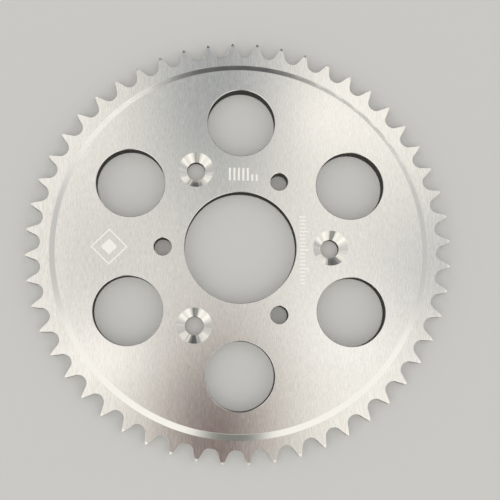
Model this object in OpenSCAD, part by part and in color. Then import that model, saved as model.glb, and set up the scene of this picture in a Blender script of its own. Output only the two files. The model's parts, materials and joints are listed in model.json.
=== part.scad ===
// Rear sprocket: one machined aluminium plate, a thick inner disc inside a thinner toothed ring.
// The origin is the centre of the bore on the back face. +Z runs along the wheel's axis to the
// front, the side with the step and the countersinks. Seen from the front, +X is right and +Y up.

/* [Teeth] */
// Number of teeth
tooth_count = 52; // [48:1:60]
// Chain pitch, the distance between roller centres
chain_pitch = 12.7; // [12.6:0.05:12.8]
// Diameter of the chain's rollers, which sets the depth of the gaps
roller_d = 7.77; // [7.6:0.01:7.95]
// Height of a tooth tip above the pitch circle
tip_height = 3.63; // [3.5:0.01:3.7]
// Radius of the round seat that a roller drops into
seat_r = 4.15; // [4:0.05:4.3]
// Angle of the seat's arc on each side of the gap's centre line
seat_half_angle = 66; // [64:1:68]
// Radius of the convex flank between the seat and the tip
flank_r = 60; // [50:5:90]
// Direction of the first gap, counted from +X
first_gap_angle = -1; // [-3:0.1:3]

/* [Ring and disc] */
// Thickness of the inner disc
disc_t = 8; // [7:0.1:10]
// Thickness of the toothed ring
ring_t = 5.5; // [5:0.1:6]
// Width of the ring's flat face, from the bottom of a gap in to the foot of the step
ring_w = 4.7; // [4:0.1:6]
// Width of the sloping step between the ring's face and the disc's face
step_w = 3.3; // [2.5:0.1:4]
// How far the bevel at the tooth tips reaches in from the tips
tip_bevel_w = 1.5; // [0.5:0.05:2]
// How deep the bevel at the tooth tips cuts into each face
tip_bevel_deep = 0.5; // [0.3:0.05:2.2]

/* [Centre bore] */
// Diameter of the bore that fits over the wheel's hub
bore_d = 57; // [50:0.5:60]

/* [Lightening holes] */
// Number of large holes
window_count = 6; // [3:1:6]
// Diameter of a large hole
window_d = 35; // [30:0.5:36]
// Diameter of the circle through their centres
window_pcd = 130; // [128:0.5:133]
// Direction of the first large hole, counted from +X
window_angle = 90; // [90:60:150]

/* [Bolt holes] */
// Number of holes in each of the two bolt circles
bolt_count = 3; // [3]
// Diameter of a plain hole
plain_d = 9; // [8:0.1:9.5]
// Diameter of the circle through the plain holes
plain_pcd = 79; // [76:0.5:82]
// Direction of the first plain hole, counted from +X
plain_angle = 60; // [60:120:180]
// Diameter of a countersunk hole below its cone
sunk_d = 9.5; // [8:0.1:10]
// Diameter of the countersink at the front face
sunk_mouth_d = 18; // [16:0.5:18.5]
// Depth of the countersink, 4.25 for a 90 degree cone
sunk_deep = 4.25; // [4:0.05:6.5]
// Diameter of the circle through the countersunk holes
sunk_pcd = 92; // [90:0.5:94]
// Direction of the first countersunk hole, counted from +X
sunk_angle = 0; // [0:120:120]

/* [Edges] */
// Width of the small 45 degree edge break at the mouths of the holes
edge_break = 0.25; // [0.1:0.05:0.5]

/* [Hidden] */
$fn = 96;

gap_step = 360 / tooth_count;
pitch_r = chain_pitch / (2 * sin(gap_step / 2));
root_r = pitch_r - roller_d / 2;
tip_r = pitch_r + tip_height;
step_foot_r = root_r - ring_w;
step_top_r = step_foot_r - step_w;

// Cutters run past the faces that they cut by this much.
past = 1;
// The gaps are cut in a blank a little larger than the tips, and the section trims it to size.
blank_r = tip_r + 0.3;

// A gap is drawn with its centre line along +X and the centre of its seat at seat_x. Each flank
// leaves the seat at the seat's own slope, then bends slowly outwards past the edge of the blank.
seat_x = root_r + seat_r;
flank_angle = 90 - seat_half_angle;
flank_sweep = 6;
flank_steps = 4;
flank_x = -seat_r * cos(seat_half_angle) - flank_r * sin(flank_angle);
flank_y = seat_r * sin(seat_half_angle) + flank_r * cos(flank_angle);
// The flank's first point is this far inside the seat, so that the two outlines cross cleanly.
seat_overlap = 0.02;
flank_start_r = seat_r - seat_overlap;

// Points along the flank on one side of the gap, which is 1 or -1, measured from the seat's centre
function flank(side) = [
    [-flank_start_r * cos(seat_half_angle), side * flank_start_r * sin(seat_half_angle)],
    for (i = [1 : flank_steps])
        let (a = flank_angle + flank_sweep * i / flank_steps)
        [flank_x + flank_r * sin(a), side * (flank_y - flank_r * cos(a))]
];

// The same points in the other order, from the tip back to the seat
function reversed(points) = [for (i = [len(points) - 1 : -1 : 0]) points[i]];

// Places a child at each of count points on a circle, the first in the direction given
module round_circle(count, pcd, first_angle) {
    for (i = [0 : count - 1])
        rotate(first_angle + i * 360 / count)
            translate([pcd / 2, 0, 0])
                children();
}

// The opening between two teeth: the round seat, and the mouth between the flanks
module tooth_gap() {
    translate([seat_x, 0]) {
        circle(r = seat_r);
        polygon(concat(flank(-1), reversed(flank(1))));
    }
}

// The blank with its gaps, seen from the front
module toothed_outline() {
    difference() {
        circle(r = blank_r);
        for (i = [0 : tooth_count - 1])
            rotate(first_gap_angle + i * gap_step)
                tooth_gap();
    }
}

// Half of the turned section: ring, step and disc, with the bevels at the tooth tips
module turned_section() {
    polygon([
        [0, 0],
        [tip_r - tip_bevel_w, 0],
        [tip_r, tip_bevel_deep],
        [tip_r, ring_t - tip_bevel_deep],
        [tip_r - tip_bevel_w, ring_t],
        [step_foot_r, ring_t],
        [step_top_r, disc_t],
        [0, disc_t]
    ]);
}

// Cutter for a hole of radius r. The mouth at the front has its own radius and depth, which
// are those of the edge break unless the hole is countersunk.
module hole(r, mouth_r, mouth_deep) {
    front_slope = (mouth_r - r) / mouth_deep;
    rotate_extrude()
        polygon([
            [0, -past],
            [r + edge_break + past, -past],
            [r, edge_break],
            [r, disc_t - mouth_deep],
            [mouth_r + past * front_slope, disc_t + past],
            [0, disc_t + past]
        ]);
}

// A hole with the same small edge break at both ends
module plain_hole(d) {
    hole(d / 2, d / 2 + edge_break, edge_break);
}

module sprocket_plate() {
    color([0.84, 0.83, 0.80])
    difference() {
        intersection() {
            linear_extrude(height = disc_t)
                toothed_outline();
            rotate_extrude()
                turned_section();
        }
        plain_hole(bore_d);
        round_circle(window_count, window_pcd, window_angle)
            plain_hole(window_d);
        round_circle(bolt_count, plain_pcd, plain_angle)
            plain_hole(plain_d);
        round_circle(bolt_count, sunk_pcd, sunk_angle)
            hole(sunk_d / 2, sunk_mouth_d / 2, sunk_deep);
    }
}

sprocket_plate();
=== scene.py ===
# %% [markdown]
# # A rear sprocket in brushed aluminium
#
# The object is one machined plate: a thick inner disc, a sloping step down to a thinner ring,
# and 52 teeth. It is sawn from a sheet that was brushed in one direction, turned on a lathe to
# make the step, drilled, countersunk and milled round the rim. Each of these jobs leaves its
# own kind of surface, so this lesson makes one mesh and gives it one finish per job.
#
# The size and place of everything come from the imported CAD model, which is loaded first.

# %% Load the fixed frame
import json
import math

import bmesh
import bpy
from mathutils import Matrix, Vector

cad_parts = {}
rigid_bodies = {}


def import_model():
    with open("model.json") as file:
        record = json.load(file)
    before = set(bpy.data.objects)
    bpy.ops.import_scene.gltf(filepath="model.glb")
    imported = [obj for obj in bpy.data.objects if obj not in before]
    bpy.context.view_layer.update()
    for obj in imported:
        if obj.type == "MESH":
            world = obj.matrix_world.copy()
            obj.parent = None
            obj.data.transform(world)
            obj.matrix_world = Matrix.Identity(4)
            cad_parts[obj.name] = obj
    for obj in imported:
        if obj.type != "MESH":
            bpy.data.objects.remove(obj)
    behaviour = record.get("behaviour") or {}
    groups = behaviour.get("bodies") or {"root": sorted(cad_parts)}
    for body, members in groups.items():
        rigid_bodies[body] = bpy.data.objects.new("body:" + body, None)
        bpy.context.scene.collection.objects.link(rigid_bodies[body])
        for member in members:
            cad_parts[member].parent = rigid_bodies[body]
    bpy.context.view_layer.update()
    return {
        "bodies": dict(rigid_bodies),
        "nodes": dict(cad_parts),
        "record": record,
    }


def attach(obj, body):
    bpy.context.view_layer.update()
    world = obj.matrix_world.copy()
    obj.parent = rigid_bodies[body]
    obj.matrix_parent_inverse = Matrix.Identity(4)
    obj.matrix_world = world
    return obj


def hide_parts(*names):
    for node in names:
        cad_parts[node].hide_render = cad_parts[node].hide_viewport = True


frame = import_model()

# %% [markdown]
# ## The camera
#
# The sprocket lies on its back and is seen from almost straight above, from a little to the
# left and towards the near side. The camera aims at a point level with the front face, near
# the middle of the bore. A camera can be placed by turning an empty or by typing angles. Here
# it is placed by that point, its distance and its lean, because those are easy to measure in
# a studio. The +Y axis of the part points up in the camera's view.

# %% Place the camera
MM = 0.001
AIM = Vector((4.75, -1.43, 8.0)) * MM
CAMERA_DISTANCE = 428.3 * MM
CAMERA_LEAN = math.radians(8.21)
CAMERA_SIDE = math.radians(247.5)
CAMERA_ROLL = math.radians(0.19)
LENS_MM = 60.74
SENSOR_MM = 36

lean_out = Vector((math.cos(CAMERA_SIDE), math.sin(CAMERA_SIDE), 0)) * math.sin(CAMERA_LEAN)
backwards = lean_out + Vector((0, 0, math.cos(CAMERA_LEAN)))
sideways = Vector((0, 1, 0)).cross(backwards).normalized()
upwards = backwards.cross(sideways)

camera_data = bpy.data.cameras.new("camera")
camera_data.lens = LENS_MM
camera_data.sensor_width = SENSOR_MM
camera_data.clip_start = 0.01
camera_data.clip_end = 50
camera = bpy.data.objects.new("camera", camera_data)
axes = Matrix((sideways, upwards, backwards)).transposed().to_4x4()
place = Matrix.Translation(AIM + backwards * CAMERA_DISTANCE)
camera.matrix_world = place @ axes @ Matrix.Rotation(CAMERA_ROLL, 4, "Z")
bpy.context.scene.collection.objects.link(camera)
bpy.context.scene.camera = camera
print("camera at, in mm:", [round(1000 * x, 1) for x in camera.matrix_world.translation])

# %% [markdown]
# ## Measuring the frame
#
# The CAD record states the bore and the bolt circles, and the corners of the CAD mesh show where
# its other edges lie. Reading them here means that the mesh made below can't drift away from the
# model. A helper lists the corners as a radius and a height.

# %% Read radii and heights from the frame
plate_node = frame["nodes"]["sprocket_plate"]
record = frame["record"]
mounts = {mount["name"]: mount["dims"] for mount in record["mounts"]}
NEAR = 0.01 * MM


def corners_round(centre, within=1.0):
    """The plate's corners as (distance from a vertical axis, height), up to a distance."""
    found = []
    for vertex in plate_node.data.vertices:
        away = (vertex.co.xy - Vector(centre[:2])).length
        if away <= within:
            found.append((away, vertex.co.z))
    return found


corners = corners_round((0, 0))
disc_top = max(height for away, height in corners)
tip_radius = max(away for away, height in corners)
step_top_radius = max(away for away, height in corners if height > disc_top - NEAR)
rim_corners = [(away, height) for away, height in corners if away > step_top_radius + NEAR]
ring_top = max(height for away, height in rim_corners)
step_foot_radius = min(away for away, height in rim_corners if height > ring_top - NEAR)
land_top = max(height for away, height in rim_corners if away > tip_radius - NEAR)
bevel_inner_radius = max(away for away, height in rim_corners if height > ring_top - NEAR)
print("heights in mm: disc", round(disc_top / MM, 2), "ring", round(ring_top / MM, 2))
print("step radii in mm:", round(step_top_radius / MM, 2), round(step_foot_radius / MM, 2))
print("tip radius", round(tip_radius / MM, 2), "bevel from", round(bevel_inner_radius / MM, 2))

# %% [markdown]
# ## The shape of one tooth
#
# A chain's rollers drop into round seats. The centres of the rollers lie one pitch apart on
# the pitch circle, so the tooth count and the pitch fix its radius, and the bottom of each gap
# is half a roller further in. Above the seat, the flank is an arc that leans away to let the
# roller swing clear. These few driving sizes are the same as the CAD model's.

# %% Driving sizes of the teeth
TOOTH_COUNT = 52
CHAIN_PITCH = 12.7 * MM
ROLLER_DIAMETER = 7.77 * MM
SEAT_RADIUS = 4.15 * MM
SEAT_HALF_ANGLE = math.radians(66)
FLANK_RADIUS = 60 * MM
FIRST_GAP_ANGLE = math.radians(-1)

gap_step = math.tau / TOOTH_COUNT
pitch_radius = CHAIN_PITCH / (2 * math.sin(gap_step / 2))
root_radius = pitch_radius - ROLLER_DIAMETER / 2
seat_centre = Vector((root_radius + SEAT_RADIUS, 0, 0))
print("pitch and root radius in mm:", round(pitch_radius / MM, 3), round(root_radius / MM, 3))

# %% [markdown]
# ## Half a gap by spinning single points
#
# Every curve of the outline is a circular arc, and spinning a single vertex draws one. The
# first spin draws the seat from its lowest point, the second draws the flank round a far centre
# on the tooth's side, and the third draws the narrow land at the tip, round the main axis.
# Each spin starts from the last point of the one before, so the outline has no breaks.

# %% Draw half a gap
SEAT_STEPS = 9
FLANK_STEPS = 5
LAND_STEPS = 1
UP = Vector((0, 0, 1))


def spin_point(bm, vertex, centre, angle, steps):
    """Draws an arc of edges from a vertex and returns the arc's last vertex."""
    made = bmesh.ops.spin(
        bm, geom=[vertex], cent=centre, axis=UP, dvec=(0, 0, 0), angle=angle,
        space=Matrix.Identity(4), steps=steps, use_merge=False,
        use_normal_flip=False, use_duplicate=False)
    return next(part for part in made["geom_last"] if isinstance(part, bmesh.types.BMVert))


def flank_geometry():
    """The centre of the flank's arc, and the angle that it sweeps from the seat to the tip."""
    lean = math.pi / 2 - SEAT_HALF_ANGLE
    seat_end = seat_centre + SEAT_RADIUS * Vector(
        (-math.cos(SEAT_HALF_ANGLE), math.sin(SEAT_HALF_ANGLE), 0))
    centre = seat_end + FLANK_RADIUS * Vector((-math.sin(lean), math.cos(lean), 0))
    reach = centre.length
    rise = (tip_radius**2 - reach**2 - FLANK_RADIUS**2) / (2 * reach * FLANK_RADIUS)
    tip_lean = math.atan2(centre.y, centre.x) + math.asin(rise)
    return centre, tip_lean - lean


def draw_half_gap(bm):
    """Draws the outline from the bottom of a gap to the middle of the next tooth's tip."""
    bottom = bm.verts.new((root_radius, 0, 0))
    seat_end = spin_point(bm, bottom, seat_centre, -SEAT_HALF_ANGLE, SEAT_STEPS)
    centre, sweep = flank_geometry()
    flank_end = spin_point(bm, seat_end, centre, sweep, FLANK_STEPS)
    to_middle = gap_step / 2 - math.atan2(flank_end.co.y, flank_end.co.x)
    tip = spin_point(bm, flank_end, (0, 0, 0), to_middle, LAND_STEPS)
    return bottom, tip, 2 * to_middle * tip_radius


tooth = bmesh.new()
gap_bottom, tooth_tip, land_width = draw_half_gap(tooth)
print("land at a tooth's tip in mm:", round(land_width / MM, 2), "wide")
print("points in half a gap:", len(tooth.verts))

# %% [markdown]
# ## One closed sector of the ring
#
# The other half of the tooth is a mirror image. Blender's mirror works about an axis, and this
# line of symmetry leans by half a step, so the copy is turned, flipped and turned back. The
# outline is then closed through the ring's inner circle, filled, and extruded to the ring's
# thickness. The faces where sectors will meet aren't wanted, because the next sector is there.

# %% Build the flat sector and extrude it
ARC_STEPS = 8
NEAR_ANGLE = 1e-6


def mirror_half(bm):
    """Copies the half outline across the middle of the tooth, and joins it at the tip."""
    turn = Matrix.Rotation(gap_step / 2, 4, "Z")
    flip = turn @ Matrix.Scale(-1, 4, (0, 1, 0)) @ turn.inverted()
    copied = bmesh.ops.duplicate(bm, geom=bm.verts[:] + bm.edges[:])["geom"]
    copied_points = [part for part in copied if isinstance(part, bmesh.types.BMVert)]
    bmesh.ops.transform(bm, matrix=flip, verts=copied_points)
    bmesh.ops.remove_doubles(bm, verts=bm.verts[:], dist=NEAR / 10)


def ends_of_outline(bm):
    """The two loose ends of an open chain of edges, in order of their angle."""
    loose = [vertex for vertex in bm.verts if len(vertex.link_edges) == 1]
    return sorted(loose, key=lambda vertex: math.atan2(vertex.co.y, vertex.co.x))


def close_sector(bm):
    """Closes the outline through an arc of the step's foot circle, and fills it."""
    outer_first, outer_last = ends_of_outline(bm)
    inner_first = bm.verts.new((step_foot_radius, 0, 0))
    inner_last = spin_point(bm, inner_first, (0, 0, 0), gap_step, ARC_STEPS)
    bm.edges.new((outer_first, inner_first))
    bm.edges.new((outer_last, inner_last))
    bmesh.ops.contextual_create(bm, geom=bm.edges[:])


def lies_between_sectors(face):
    """True for a face on either side of the sector, or on its inner circle."""
    angles = [math.atan2(vertex.co.y, vertex.co.x) for vertex in face.verts]
    radii = [vertex.co.xy.length for vertex in face.verts]
    return (
        all(abs(angle) < NEAR_ANGLE for angle in angles)
        or all(abs(angle - gap_step) < NEAR_ANGLE for angle in angles)
        or all(abs(radius - step_foot_radius) < NEAR for radius in radii)
    )


def raise_sector(bm):
    """Extrudes the flat sector to the ring's thickness, and opens it to its neighbours."""
    made = bmesh.ops.extrude_face_region(bm, geom=bm.faces[:])["geom"]
    upper = [part for part in made if isinstance(part, bmesh.types.BMVert)]
    bmesh.ops.translate(bm, verts=upper, vec=(0, 0, ring_top))
    inside = [face for face in bm.faces if lies_between_sectors(face)]
    bmesh.ops.delete(bm, geom=inside, context="FACES")


mirror_half(tooth)
close_sector(tooth)
raise_sector(tooth)
print("faces in a plain sector:", len(tooth.faces))

# %% [markdown]
# ## Bevels at the tips and small breaks on the edges
#
# Both faces of every tooth slope off towards its tip, so that the chain finds its way on. The
# maker turned this slope on a lathe. Across one narrow tooth it is as good as flat, so a plane
# cuts it off and the opening is filled. The deburring brush then took the sharpness off every
# edge. That is a real bevel here, because a rounded edge is what catches the light.

# %% Cut the bevels and break the edges
BRUSHED, TURNED, MILLED, BORED, SUNK, ETCHED = range(6)
EDGE_BREAK = 0.12 * MM
SHARP = math.radians(20)

bevel_width = tip_radius - bevel_inner_radius
bevel_depth = ring_top - land_top


def cut_tip_bevel(bm, height, side):
    """Cuts the slope at a tooth's tip. The side is 1 for the front face and -1 for the back."""
    outwards = Vector((math.cos(gap_step / 2), math.sin(gap_step / 2), 0))
    start = outwards * bevel_inner_radius + UP * height
    normal = outwards * bevel_depth + UP * (side * bevel_width)
    everything = bm.verts[:] + bm.edges[:] + bm.faces[:]
    cut = bmesh.ops.bisect_plane(
        bm, geom=everything, dist=NEAR / 100, plane_co=start, plane_no=normal, clear_outer=True)
    rim = [part for part in cut["geom_cut"] if isinstance(part, bmesh.types.BMEdge)]
    for face in bmesh.ops.contextual_create(bm, geom=rim)["faces"]:
        face.material_index = TURNED


def break_edges(bm):
    """Bevels every sharp edge that has a face on both sides."""
    bmesh.ops.recalc_face_normals(bm, faces=bm.faces[:])
    bm.normal_update()
    sharp = [
        edge for edge in bm.edges
        if len(edge.link_faces) == 2 and edge.calc_face_angle() > SHARP]
    bmesh.ops.bevel(
        bm, geom=sharp, offset=EDGE_BREAK, offset_type="OFFSET", affect="EDGES",
        segments=2, profile=0.5, material=-1, clamp_overlap=True)
    return len(sharp)


for face in tooth.faces:
    is_flat = all(abs(vertex.co.z - face.verts[0].co.z) < NEAR for vertex in face.verts)
    face.material_index = BRUSHED if is_flat else MILLED
cut_tip_bevel(tooth, ring_top, 1)
cut_tip_bevel(tooth, 0, -1)
broken = break_edges(tooth)
print("edges broken in a sector:", broken, "faces now:", len(tooth.faces))

# %% [markdown]
# ## All 52 teeth
#
# The sector is spun round the axis as copies, one for each tooth. Neighbours share their side
# points, so merging doubles joins them into one ring. The whole ring is then turned to bring
# the first gap to its place.

# %% Repeat the sector
plate = tooth
bmesh.ops.spin(
    plate, geom=plate.verts[:] + plate.edges[:] + plate.faces[:], cent=(0, 0, 0), axis=UP,
    dvec=(0, 0, 0), angle=math.tau - gap_step, space=Matrix.Identity(4),
    steps=TOOTH_COUNT - 1, use_merge=False, use_normal_flip=False, use_duplicate=True)
bmesh.ops.remove_doubles(plate, verts=plate.verts[:], dist=NEAR / 5)
bmesh.ops.rotate(
    plate, verts=plate.verts[:], cent=(0, 0, 0),
    matrix=Matrix.Rotation(FIRST_GAP_ANGLE, 3, "Z"))
print("toothed ring:", len(plate.faces), "faces")

# %% [markdown]
# ## The step up to the disc
#
# The ring was turned down from the disc's thickness, which left a sloping step. The ring's
# inner circle is an open loop of edges, so the slope is that loop extruded, shrunk and raised.
# A second, much smaller extrusion breaks the edge where the slope meets the front face.

# %% Extrude the step
STEP_BREAK = 0.08 * MM


def open_edges_at(bm, height):
    """The edges at one height that have a face on one side only."""
    return [
        edge for edge in bm.edges
        if len(edge.link_faces) == 1
        and all(abs(vertex.co.z - height) < NEAR for vertex in edge.verts)]


def extrude_circle(bm, edges, from_radius, to_radius, rise, material):
    """Extrudes a circle of edges to another radius and height, and returns the new circle."""
    made = bmesh.ops.extrude_edge_only(bm, edges=edges)["geom"]
    points = [part for part in made if isinstance(part, bmesh.types.BMVert)]
    share = to_radius / from_radius
    bmesh.ops.scale(bm, verts=points, vec=(share, share, 1))
    bmesh.ops.translate(bm, verts=points, vec=(0, 0, rise))
    for part in made:
        if isinstance(part, bmesh.types.BMFace):
            part.material_index = material
    return [part for part in made if isinstance(part, bmesh.types.BMEdge)
            and all(vertex in points for vertex in part.verts)]


step_slope = (disc_top - ring_top) / (step_foot_radius - step_top_radius)
break_radius = step_top_radius + STEP_BREAK
break_rise = (step_foot_radius - break_radius) * step_slope
foot = open_edges_at(plate, ring_top)
shoulder = extrude_circle(plate, foot, step_foot_radius, break_radius, break_rise, TURNED)
last_rise = disc_top - ring_top - break_rise
extrude_circle(
    plate, shoulder, break_radius, step_top_radius - STEP_BREAK, last_rise, TURNED)
print("step:", len(foot), "edges round, slope", round(math.degrees(math.atan(step_slope)), 1))

# %% [markdown]
# ## The holes
#
# The plate has a bore for the hub, six large holes that save weight, three plain bolt holes
# and three countersunk ones. A hole's wall is a turned shape, so half of its section is drawn
# as a short line of points and spun a full turn about the hole's own axis. Each wall gets a
# bmesh of its own, since a spin is slow in a large one, and then joins the plate. The sizes
# come from the record's mounts, and the large holes' places from the openings that it states.

# %% Turn the walls of the holes
HOLE_BREAK = 0.25 * MM
MOUTH_BREAK = 0.15 * MM
WINDOW_STEPS = 128
BORE_STEPS = 192
BOLT_STEPS = 64
SUNK_STEPS = 96
PLAIN_FIRST_ANGLE = math.radians(60)
WINDOW_REACH = 20 * MM
SUNK_REACH = 10 * MM


def join_into(bm, other):
    """Moves everything in another bmesh into this one."""
    carrier = bpy.data.meshes.new("carrier")
    other.to_mesh(carrier)
    other.free()
    bm.from_mesh(carrier)
    bpy.data.meshes.remove(carrier)


def turn_hole(bm, centre, profile, steps, material):
    """Spins a line of (radius, height) points a full turn about a vertical axis."""
    wall = bmesh.new()
    points = [wall.verts.new((centre[0] + radius, centre[1], height))
              for radius, height in profile]
    lines = [wall.edges.new(pair) for pair in zip(points, points[1:])]
    bmesh.ops.spin(
        wall, geom=points + lines, cent=(centre[0], centre[1], 0), axis=UP, dvec=(0, 0, 0),
        angle=math.tau, space=Matrix.Identity(4), steps=steps, use_merge=True,
        use_normal_flip=False, use_duplicate=False)
    for face in wall.faces:
        face.material_index = material
    join_into(bm, wall)


def straight_profile(radius):
    """The wall of a plain hole, with a small break at both mouths."""
    return [
        (radius + HOLE_BREAK, 0), (radius, HOLE_BREAK),
        (radius, disc_top - HOLE_BREAK), (radius + HOLE_BREAK, disc_top)]


def places_round(diameter, count, first_angle):
    """Centres of holes on a bolt circle."""
    angles = [first_angle + index * math.tau / count for index in range(count)]
    return [(diameter / 2 * math.cos(angle), diameter / 2 * math.sin(angle))
            for angle in angles]


def middle(opening):
    """The middle of an opening's box, as x and y in metres."""
    lowest, highest = opening["box_m"]
    return [(low + high) / 2 for low, high in zip(lowest, highest)][:2]


bore_radius = mounts["hub_bore"]["r_mm"] * MM
plain = mounts["plain_bolts"]
sunk = mounts["countersunk_bolts"]
plain_places = places_round(plain["pcd_mm"] * MM, plain["count"], PLAIN_FIRST_ANGLE)
sunk_places = places_round(sunk["pcd_mm"] * MM, sunk["count"], 0)
window_places = [middle(opening) for opening in record["physics"]["openings"]]

window_corners = corners_round(window_places[0], WINDOW_REACH)
window_radius = min(away for away, height in window_corners)
sunk_corners = corners_round(sunk_places[0], SUNK_REACH)
mouth_radius = max(away for away, height in sunk_corners if height > disc_top - NEAR)
sunk_radius = sunk["hole_r_mm"] * MM
cone_foot = max(
    height for away, height in sunk_corners if abs(away - sunk_radius) < NEAR)
cone_slope = (disc_top - cone_foot) / (mouth_radius - sunk_radius)

turn_hole(plate, (0, 0), straight_profile(bore_radius), BORE_STEPS, BORED)
for place in window_places:
    turn_hole(plate, place, straight_profile(window_radius), WINDOW_STEPS, BORED)
for place in plain_places:
    turn_hole(plate, place, straight_profile(plain["hole_r_mm"] * MM), BOLT_STEPS, BORED)
print("window radius in mm:", round(window_radius / MM, 2), "at", len(window_places), "places")
print("countersink in mm: mouth", round(mouth_radius / MM, 2), "foot at", round(cone_foot / MM, 2))

# %% [markdown]
# The countersinks are a narrow hole and a cone. The two parts were cut by different tools, so
# each is spun on its own and they share the circle where they meet.

# %% Turn the countersinks
cone_lip = disc_top - MOUTH_BREAK
cone_lip_radius = mouth_radius - MOUTH_BREAK / cone_slope
for place in sunk_places:
    turn_hole(
        plate, place,
        [(sunk_radius + HOLE_BREAK, 0), (sunk_radius, HOLE_BREAK), (sunk_radius, cone_foot)],
        SUNK_STEPS, BORED)
    turn_hole(
        plate, place,
        [(sunk_radius, cone_foot), (cone_lip_radius, cone_lip), (mouth_radius, disc_top)],
        SUNK_STEPS, SUNK)
bmesh.ops.remove_doubles(plate, verts=plate.verts[:], dist=NEAR / 5)
print("faces with the holes' walls:", len(plate.faces))

# %% [markdown]
# ## Laser-etched marks
#
# A maker etches marks into the front face with a laser, which turns the bright grain pale and
# matte. These marks are plain ones of no maker: a tally of the teeth, with a long stroke for
# each ten and a short one for each of the rest, a ruled scale, and a diamond with a dot.
# An etched mark has no thickness to speak of, so each one is a flat face of the plate itself,
# with its own finish. They are made now, and the front face is filled in around them.

# %% Draw the marks
STROKE = 1.0 * MM
TALLY_GAP = 2.3 * MM
LONG_STROKE = 6.6 * MM
SHORT_STROKE = 3.3 * MM
TICK_COUNT = 19
TICK_WIDTH = 0.8 * MM
TICK = 3.0 * MM
LONG_TICK = 4.6 * MM
TICKS_PER_LONG = 5
DIAMOND_REACH = 9.3 * MM
DIAMOND_BAND = 4.2 * MM
TALLY_CORNER = (-6.2 * MM, 34.5 * MM)
SCALE_LEFT = 30.1 * MM
SCALE_ENDS = (-18.6 * MM, 16.5 * MM)
DIAMOND_CENTRE = (-66.3 * MM, -0.4 * MM)


def etch_bar(bm, left, low, width, height):
    """A flat etched rectangle in the front face."""
    place = Matrix.Translation((left + width / 2, low + height / 2, disc_top))
    size = Matrix.Diagonal((width, height, 1, 1))
    made = bmesh.ops.create_grid(
        bm, x_segments=1, y_segments=1, size=0.5, matrix=place @ size)
    for face in made["verts"][0].link_faces:
        face.material_index = ETCHED


def etch_tally(bm, left, low):
    """A long stroke for each ten teeth, then a short one for each of the rest."""
    tens, units = divmod(TOOTH_COUNT, 10)
    for index, height in enumerate([LONG_STROKE] * tens + [SHORT_STROKE] * units):
        etch_bar(bm, left + index * TALLY_GAP, low, STROKE, height)


def etch_scale(bm, left, low, high):
    """A ladder of ticks, of which every fifth is longer."""
    gap = (high - low - STROKE) / (TICK_COUNT - 1)
    for index in range(TICK_COUNT):
        is_long = (index + 1) % TICKS_PER_LONG == 0
        etch_bar(bm, left, low + index * gap, LONG_TICK if is_long else TICK, TICK_WIDTH)


def etch_diamond(bm, centre_x, centre_y, reach):
    """A diamond's outline with a dot in the middle, all made by insetting one face."""
    place = Matrix.Translation((centre_x, centre_y, disc_top))
    made = bmesh.ops.create_circle(
        bm, cap_ends=True, segments=4, radius=reach, matrix=place)
    inner = made["verts"][0].link_faces[0]
    for thickness, material in ((STROKE, ETCHED), (DIAMOND_BAND, BRUSHED)):
        rim = bmesh.ops.inset_individual(bm, faces=[inner], thickness=thickness, depth=0)
        for face in rim["faces"]:
            face.material_index = material
    inner.material_index = ETCHED


etch_tally(plate, *TALLY_CORNER)
etch_scale(plate, SCALE_LEFT, *SCALE_ENDS)
etch_diamond(plate, *DIAMOND_CENTRE, DIAMOND_REACH)
etched = [face for face in plate.faces if face.material_index == ETCHED]
print("etched faces:", len(etched))

# %% [markdown]
# ## The two flat faces
#
# What is left is two openings: the front face, between the step and the rims of the holes and
# marks, and the back. Filling open loops with triangles takes every inner loop as a hole, so
# one call closes each side, however many holes it has.

# %% Fill the front and the back
for height in (disc_top, 0):
    loops = open_edges_at(plate, height)
    filled = bmesh.ops.triangle_fill(plate, edges=loops, use_beauty=True, use_dissolve=False)
    for part in filled["geom"]:
        if isinstance(part, bmesh.types.BMFace):
            part.material_index = BRUSHED
bmesh.ops.recalc_face_normals(plate, faces=plate.faces[:])
still_open = [edge for edge in plate.edges if len(edge.link_faces) != 2]
volume = plate.calc_volume()
print("edges left open:", len(still_open), "volume in mm3:", round(volume / MM**3))

# %% [markdown]
# ## The finished mesh
#
# The bmesh becomes one object, because the real sprocket is one piece. Smooth shading hides
# the facets of the round walls. An edge that turns by more than a wall's facets do is marked
# sharp, which keeps the flat faces flat right up to the bevels beside them.

# %% Make the sprocket's object
CRISP = math.radians(10)
sprocket_mesh = bpy.data.meshes.new("sprocket")
plate.to_mesh(sprocket_mesh)
plate.free()
sprocket_mesh.shade_smooth()
sprocket_mesh.set_sharp_from_angle(angle=CRISP)
sprocket = bpy.data.objects.new("sprocket", sprocket_mesh)
bpy.context.scene.collection.objects.link(sprocket)
print("sprocket:", len(sprocket_mesh.vertices), "points,", len(sprocket_mesh.polygons), "faces")

# %% [markdown]
# ## Writing shaders as sums
#
# A finish here is mostly arithmetic on a few patterns, and arithmetic is easier to read as a
# sum than as a chain of nodes. A small class wraps a socket, so that adding or multiplying two
# of them adds the Math node. Every other node comes from one method of the finish.

# %% A value in a shader, and a finish


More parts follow.
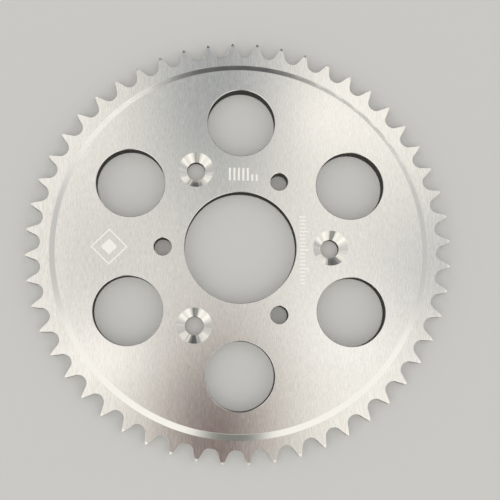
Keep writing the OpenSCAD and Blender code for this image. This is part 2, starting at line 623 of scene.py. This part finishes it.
class Value:
    """A shader's socket, which can be added, subtracted, multiplied and divided."""

    def __init__(self, finish, socket):
        self.finish = finish
        self.socket = socket

    def maths(self, operation, first, second=0.0):
        return self.finish.node(
            "ShaderNodeMath", {"operation": operation}, {0: first, 1: second})

    def __add__(self, other):
        return self.maths("ADD", self, other)

    def __radd__(self, other):
        return self.maths("ADD", other, self)

    def __sub__(self, other):
        return self.maths("SUBTRACT", self, other)

    def __rsub__(self, other):
        return self.maths("SUBTRACT", other, self)

    def __mul__(self, other):
        return self.maths("MULTIPLY", self, other)

    def __rmul__(self, other):
        return self.maths("MULTIPLY", other, self)

    def __truediv__(self, other):
        return self.maths("DIVIDE", self, other)

    def exponent(self):
        return self.maths("EXPONENT", self)

    def at_least(self, other):
        return self.maths("MAXIMUM", self, other)

    def at_most(self, other):
        return self.maths("MINIMUM", self, other)


class Finish:
    """The node tree of a material or of the world, built one node at a time."""

    def __init__(self, owner):
        owner.use_nodes = True
        self.tree = owner.node_tree
        self.tree.nodes.clear()

    def node(self, kind, settings=None, inputs=None, output=0):
        """Adds a node with its settings, then the values or links of its inputs."""
        made = self.tree.nodes.new(kind)
        for name, setting in (settings or {}).items():
            setattr(made, name, setting)
        for name, value in (inputs or {}).items():
            if isinstance(value, Value):
                self.tree.links.new(value.socket, made.inputs[name])
            else:
                made.inputs[name].default_value = value
        return Value(self, made.outputs[output]) if made.outputs else None

    def place(self):
        """The point on the piece, in metres."""
        return self.node("ShaderNodeTexCoord", output="Object")

    def part(self, vector, axis):
        """One part of a vector, named X, Y or Z."""
        return self.node("ShaderNodeSeparateXYZ", inputs={"Vector": vector}, output=axis)

    def mix(self, share, first, second):
        """A colour between two others."""
        return self.node(
            "ShaderNodeMix", {"data_type": "RGBA"}, {0: share, 6: first, 7: second}, 2)

    def noise(self, sizes, detail=2.0):
        """Noise from 0 to 1 whose blotches have these sizes along X, Y and Z, in metres."""
        scale = tuple(1 / size for size in sizes)
        stretched = self.node(
            "ShaderNodeMapping", inputs={"Vector": self.place(), "Scale": scale})
        return self.node(
            "ShaderNodeTexNoise", {"noise_dimensions": "3D"},
            {"Vector": stretched, "Scale": 1.0, "Detail": detail, "Roughness": 0.6})

    def rings(self, distance, width, detail=2.0):
        """Noise from 0 to 1 in rings of this width, by a distance from an axis."""
        return self.node(
            "ShaderNodeTexNoise", {"noise_dimensions": "1D"},
            {"W": distance / width, "Scale": 1.0, "Detail": detail, "Roughness": 0.6})

    def vector(self, operation, first, second=(0, 0, 0), output=0):
        """Vector arithmetic."""
        return self.node(
            "ShaderNodeVectorMath", {"operation": operation}, {0: first, 1: second}, output)

    def bump(self, height, depth, under=None):
        """A normal tilted by a height, where a height of 1 stands for this depth in metres."""
        inputs = {"Height": height, "Strength": 1.0, "Distance": depth}
        if under is not None:
            inputs["Normal"] = under
        return self.node("ShaderNodeBump", inputs=inputs)

    def metal(self, colour, roughness, normal, metallic=1.0):
        """Ends a material as bare metal."""
        surface = self.node("ShaderNodeBsdfPrincipled", inputs={
            "Base Color": colour, "Metallic": metallic, "Roughness": roughness,
            "Normal": normal})
        self.node("ShaderNodeOutputMaterial", inputs={"Surface": surface})


def new_material(name):
    """A material in the sprocket's next slot, and its finish."""
    material = bpy.data.materials.new(name)
    sprocket_mesh.materials.append(material)
    return Finish(material)


print("shader helpers are ready")

# %% [markdown]
# ## Brushed face
#
# The sheet was brushed along one direction before it was machined, so fine straight scratches
# run across the disc and the ring alike. An image could hold them, but it would blur close up.
# Here three layers of noise, each drawn out along Y, stand for hair-fine, fine and broad
# streaks. They tilt the surface a little, which spreads reflections sideways as real brushing
# does, and they change the colour and the gloss by a few hundredths.

# %% Make the brushed finish
BRIGHT_METAL = (0.93, 0.92, 0.89, 1)
DULL_METAL = (0.74, 0.735, 0.715, 1)
HAIR_STREAK = (0.14 * MM, 2.2 * MM, 8 * MM)
FINE_STREAK = (0.42 * MM, 4.5 * MM, 8 * MM)
BROAD_STREAK = (2.4 * MM, 40 * MM, 8 * MM)
CLOUD = (26 * MM, 34 * MM, 8 * MM)
SCRATCH_DEPTH = 0.005 * MM


def make_brushed():
    finish = new_material("brushed_face")
    hair = finish.noise(HAIR_STREAK)
    fine = finish.noise(FINE_STREAK)
    broad = finish.noise(BROAD_STREAK)
    cloud = finish.noise(CLOUD)
    streaks = hair * 0.5 + fine * 0.4 + broad * 0.1
    shade = (streaks * 4.0 - 1.5).at_least(0).at_most(1)
    roughness = 0.08 + streaks * 0.06 + cloud * 0.04
    height = hair * 0.2 + fine * 0.65 + broad * 0.15
    finish.metal(
        finish.mix(shade, DULL_METAL, BRIGHT_METAL), roughness,
        finish.bump(height, SCRATCH_DEPTH))


make_brushed()
print("brushed face: three layers of streaks along Y")

# %% [markdown]
# ## Turned and bored surfaces
#
# On a lathe the tool's point leaves a fine thread of rings. On the step and on the bevels of
# the teeth the rings run round the sprocket's axis, so the pattern is noise of one number, the
# distance from that axis. Down the wall of a hole the rings lie one above another, so there
# the number is the height.

# %% Make the turned and bored finishes
TURNED_RING = 0.14 * MM
TURNED_DEPTH = 0.003 * MM
WORN_PATCH = (4 * MM, 4 * MM, 4 * MM)
MILLED_LINE = (0.2 * MM, 0.2 * MM, 4 * MM)
MILLED_DEPTH = 0.008 * MM
BORED_RING = 0.1 * MM
BORED_DEPTH = 0.004 * MM
FLAT = (1, 1, 0)


def make_turned():
    finish = new_material("turned_step")
    flat_place = finish.vector("MULTIPLY", finish.place(), FLAT)
    from_axis = finish.vector("LENGTH", flat_place, output="Value")
    rings = finish.rings(from_axis, TURNED_RING)
    worn = finish.noise(WORN_PATCH)
    finish.metal(
        finish.mix(rings, DULL_METAL, BRIGHT_METAL), 0.10 + worn * 0.08,
        finish.bump(rings, TURNED_DEPTH))


def make_milled():
    finish = new_material("milled_teeth")
    lines = finish.noise(MILLED_LINE)
    finish.metal(
        finish.mix(lines, DULL_METAL, BRIGHT_METAL), 0.22 + lines * 0.12,
        finish.bump(lines, MILLED_DEPTH))


def make_bored():
    finish = new_material("bored_walls")
    rings = finish.rings(finish.part(finish.place(), "Z"), BORED_RING)
    finish.metal(
        finish.mix(rings, DULL_METAL, BRIGHT_METAL), 0.18 + rings * 0.1,
        finish.bump(rings, BORED_DEPTH))


make_turned()
make_milled()
make_bored()
print("turned, milled and bored finishes made")

# %% [markdown]
# ## Countersinks
#
# A countersink cuts its cone in a few slow turns, which leaves fine rings. The mirror of the
# cone is tilted a little flatter, as if the rings were small steps and only their treads were
# seen. So it shows the walls of the room and not the ceiling, as a fan of bright and dark rays.
# Chatter of the tool adds flutes that run down the cone as a bump. Along the same flutes the
# colour is painted lighter and darker, a painted reflection of bright and dark rays. There are
# three cones, so the patterns are drawn round the nearest of their axes.

# %% Make the countersinks' finish
SUNK_RING = 0.22 * MM
SUNK_RING_DEPTH = 0.006 * MM
FLUTE_SCALE = 2.6
FLUTE_DEPTH = 0.3 * MM
TREAD_TILT = 0.30
# The colour of the darker rays painted on the cones, a painted reflection.
PAINTED_DARK_RAY = (0.60, 0.60, 0.585, 1)


def from_nearest(finish, centres):
    """The flat vector from the nearest of some vertical axes, and its length."""
    nearest, shortest = None, None
    for centre in centres:
        offset = finish.vector("SUBTRACT", finish.place(), (centre[0], centre[1], 0))
        offset = finish.vector("MULTIPLY", offset, FLAT)
        length = finish.vector("LENGTH", offset, output="Value")
        if nearest is None:
            nearest, shortest = offset, length
            continue
        is_nearer = finish.node(
            "ShaderNodeMath", {"operation": "LESS_THAN"}, {0: length, 1: shortest})
        nearest = finish.node(
            "ShaderNodeMix", {"data_type": "VECTOR"}, {0: is_nearer, 4: nearest, 5: offset}, 1)
        shortest = shortest.at_most(length)
    return nearest, shortest


def make_sunk():
    finish = new_material("countersinks")
    offset, distance = from_nearest(finish, sunk_places)
    rings = finish.rings(distance, SUNK_RING)
    flutes = finish.node(
        "ShaderNodeTexNoise", {"noise_dimensions": "3D"},
        {"Vector": finish.vector("NORMALIZE", offset), "Scale": FLUTE_SCALE, "Detail": 1.0})
    # Painted reflection: bright and dark rays in the colour, along the flutes.
    painted_rays = (flutes * 2.2 - 0.6).at_least(0).at_most(1)
    fluted = finish.bump(flutes, FLUTE_DEPTH)
    treads = finish.bump(distance * (-1 / MM), TREAD_TILT * MM, fluted)
    finish.metal(
        finish.mix(painted_rays, PAINTED_DARK_RAY, BRIGHT_METAL), 0.12 + rings * 0.06,
        finish.bump(rings, SUNK_RING_DEPTH, treads))


make_sunk()
print("countersinks: rings and flutes round", len(sunk_places), "axes")

# %% [markdown]
# ## Etched marks
#
# The laser melts the brushed grain into a fine matte frost. It has no direction, so it looks
# pale from every side, where the metal round it is only bright where it mirrors something.

# %% Make the etched finish
FROST = (0.98, 0.98, 0.97, 1)
FROST_SHADE = (0.92, 0.92, 0.91, 1)
SPECKLE = (0.12 * MM, 0.12 * MM, 0.12 * MM)
SPECKLE_DEPTH = 0.01 * MM


def make_etched():
    finish = new_material("etched_marks")
    speckle = finish.noise(SPECKLE, detail=1.0)
    finish.metal(
        finish.mix(speckle, FROST_SHADE, FROST), 0.5 + speckle * 0.2,
        finish.bump(speckle, SPECKLE_DEPTH), metallic=0.1)


make_etched()
print("material slots:", [material.name for material in sprocket_mesh.materials])

# %% [markdown]
# ## The light
#
# Bare metal shows hardly anything of its own: it shows the room. The flat face acts as a dim
# mirror of a patch of ceiling right above it, so the soft bright and grey areas on the disc
# are made there. The room is a white tent with four gaps, where darker ceiling shows through,
# and three lamps behind the cloth, which only make brighter spots in it. A direction's place
# on the ceiling is its x and y for one step up, and each gap or lamp is a soft round patch at
# such a place.
#
# Sloping faces mirror the sides of the room. The tent is open towards the dark far end, which
# darkens the top of the step. At the near end a narrow grey stand breaks the white cloth, and
# at the left and right the cloth is greyer than at the four corners.

# %% Hang the light tent
TENT_WHITE = (1.10, 1.07, 1.00, 1)
PATCHES = [
    # across, along, half width across and along, colour
    (0.01, 0.35, 0.10, 0.24, (0.32, 0.34, 0.36, 1)),
    (0.016, -0.09, 0.080, 0.145, (0.06, 0.0, 0.0, 1)),
    (-0.13, 0.12, 0.07, 0.12, (0.73, 0.71, 0.70, 1)),
    (0.36, 0.12, 0.18, 0.12, (0.54, 0.55, 0.56, 1)),
    (0.15, 0.30, 0.04, 0.04, (1.25, 1.20, 1.15, 1)),
    (-0.11, 0.01, 0.04, 0.03, (1.35, 1.30, 1.25, 1)),
    (0.17, 0.04, 0.04, 0.04, (1.30, 1.28, 1.28, 1)),
]
LOW_CLOTH = (1.12, 1.10, 1.06, 1)
LOW_CLOTH_TOP = 0.30
FAR_END = (0.15, 0.15, 0.155, 1)
FAR_END_TOP = 0.93
FAR_END_WIDE = 0.38
STAND = (0.24, 0.245, 0.23, 1)
STAND_WIDE = 0.20
STAND_TOP = 0.85
SIDE_CLOTH = (0.66, 0.65, 0.64, 1)
SIDES_AHEAD = 0.15
SIDES_WIDE = 0.42
SIDES_TOP = 0.75
LOWEST_CEILING = 0.05
TOP_FADE = 3.0
SIDE_FADE = 8.0

world = bpy.data.worlds.new("light_tent")
bpy.context.scene.world = world


def soft_patch(across, along, shape):
    """1 at the middle of a patch of the ceiling, falling off smoothly to 0."""
    centre_across, centre_along, wide, long = shape
    off_across = (across - centre_across) / wide
    off_along = (along - centre_along) / long
    return (0 - (off_across * off_across + off_along * off_along)).exponent()


def soft_strip(sideways, wide):
    """1 over the middle of an upright strip, falling off to both sides."""
    off = sideways * sideways / wide**2
    return (0 - off * off).exponent()


def below(height, top):
    """1 at the horizon, falling to 0 at this height of the direction."""
    return ((top - height) * TOP_FADE).at_least(0).at_most(1)


def side(ahead):
    """1 on the side that a direction faces, and 0 behind."""
    return (ahead * SIDE_FADE).at_least(0).at_most(1)


def make_tent():
    tent = Finish(world)
    direction = tent.node("ShaderNodeTexCoord", output="Generated")
    height = tent.part(direction, "Z")
    up = height.at_least(LOWEST_CEILING)
    across = tent.part(direction, "X") / up
    along = tent.part(direction, "Y") / up
    colour = TENT_WHITE
    for *shape, tint in PATCHES:
        colour = tent.mix(soft_patch(across, along, shape), colour, tint)
    low_share = (1 - height / LOW_CLOTH_TOP).at_least(0).at_most(1)
    colour = tent.mix(low_share, colour, LOW_CLOTH)
    sideways = tent.part(direction, "X")
    ahead = tent.part(direction, "Y")
    side_share = soft_strip(ahead - SIDES_AHEAD, SIDES_WIDE) * below(height, SIDES_TOP)
    colour = tent.mix(side_share, colour, SIDE_CLOTH)
    far_share = soft_strip(sideways, FAR_END_WIDE) * below(height, FAR_END_TOP)
    colour = tent.mix(far_share * side(ahead), colour, FAR_END)
    stand_share = soft_strip(sideways, STAND_WIDE) * below(height, STAND_TOP)
    colour = tent.mix(stand_share * side(0 - ahead), colour, STAND)
    light = tent.node("ShaderNodeBackground", inputs={"Color": colour, "Strength": 1.0})
    tent.node("ShaderNodeOutputWorld", inputs={"Surface": light})


make_tent()
bpy.context.scene.view_settings.view_transform = "Standard"
print("tent with", len(PATCHES), "patches")

# %% [markdown]
# ## The floor
#
# A plain pale floor lies just under the part. The walls of the holes and the slopes of the
# teeth mirror what they stand on, and pale paper would wash them out. So the floor is left out
# of reflections, and the metal mirrors a second sheet instead, of glossy black card. The card
# lies just below the floor, is not much larger than the part, and shows only in reflections.
# In a studio the same is done with strips of black card set close to the metal.

# %% Lay the floor and the black card
FLOOR_GAP = 0.05 * MM
CARD_GAP = 0.15 * MM
FLOOR_REACH = 20.0
CARD_REACH = 0.19
FLOOR_COLOUR = (0.64, 0.645, 0.655, 1)
CARD_COLOUR = (0.012, 0.012, 0.013, 1)
FLOOR_ROUGHNESS = 0.7
CARD_ROUGHNESS = 0.15
FIBRE = (3 * MM, 3 * MM, 3 * MM)
FIBRE_DEPTH = 0.01 * MM


def make_sheet(name, reach, gap, colour, roughness):
    """A square flat sheet this far under the part, with this reach from middle to sides."""
    bm = bmesh.new()
    bmesh.ops.create_grid(
        bm, x_segments=1, y_segments=1, size=reach,
        matrix=Matrix.Translation((0, 0, -gap)))
    mesh = bpy.data.meshes.new(name)
    bm.to_mesh(mesh)
    bm.free()
    sheet = bpy.data.objects.new(name, mesh)
    bpy.context.scene.collection.objects.link(sheet)
    material = bpy.data.materials.new(name)
    mesh.materials.append(material)
    finish = Finish(material)
    fibre = finish.noise(FIBRE)
    finish.metal(
        colour, roughness + fibre * 0.1, finish.bump(fibre, FIBRE_DEPTH), metallic=0.0)
    return sheet


floor = make_sheet("floor", FLOOR_REACH, FLOOR_GAP, FLOOR_COLOUR, FLOOR_ROUGHNESS)
floor.visible_glossy = False
card = make_sheet("black_card", CARD_REACH, CARD_GAP, CARD_COLOUR, CARD_ROUGHNESS)
card.visible_camera = False
card.visible_diffuse = False
card.visible_shadow = False
card.visible_transmission = False
print("floor laid", round(FLOOR_GAP / MM, 2), "mm under the part")

# %% [markdown]
# ## Join it to the frame
#
# The piece rides on the model's only body, and the plain CAD plate is hidden.

# %% Finish
body = next(iter(frame["bodies"]))
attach(sprocket, body)
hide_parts("sprocket_plate")
